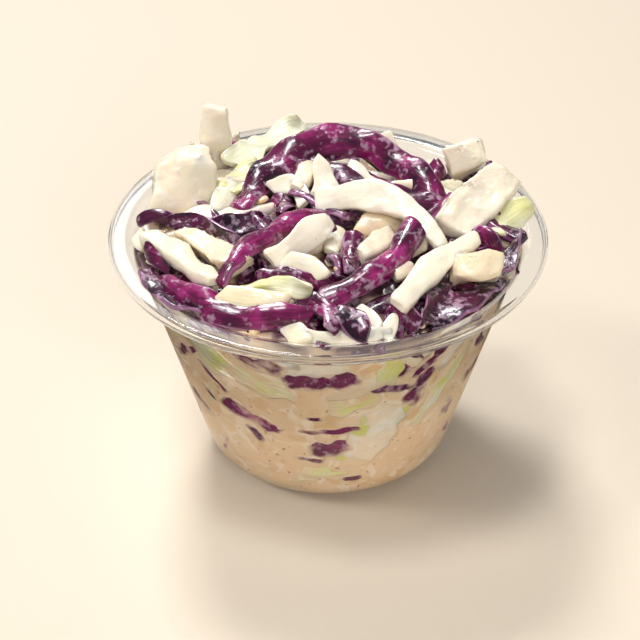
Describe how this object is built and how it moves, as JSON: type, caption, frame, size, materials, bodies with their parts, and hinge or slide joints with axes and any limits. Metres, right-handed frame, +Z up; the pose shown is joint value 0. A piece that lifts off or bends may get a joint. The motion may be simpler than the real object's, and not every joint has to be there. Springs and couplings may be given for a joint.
{
  "type": "coleslaw in a clear portion cup",
  "caption": "Red and white cabbage coleslaw in creamy dressing, heaped over the rim of a small round clear plastic portion cup with tapered wall and flanged lip.",
  "frame": {"origin": "middle of the cup's base, on the surface it stands on", "axes": "+Z up along the cup's axis, out of its mouth; -Y towards the side shown"},
  "size_m": [0.074, 0.074, 0.0563],
  "materials": {
    "clear_plastic": "clear thermoformed plastic, glossy",
    "dressing": "creamy dressing, wet gloss",
    "red_cabbage": "purple cabbage shreds with pale cut edges, wet gloss",
    "white_cabbage": "creamy white cabbage shreds and stalk chunks, wet gloss",
    "green_leaf": "pale yellow-green cabbage leaf, wet gloss"
  },
  "bodies": {
    "root": {"cup": "clear_plastic", "coleslaw": "dressing"}
  },
  "joints": []
}
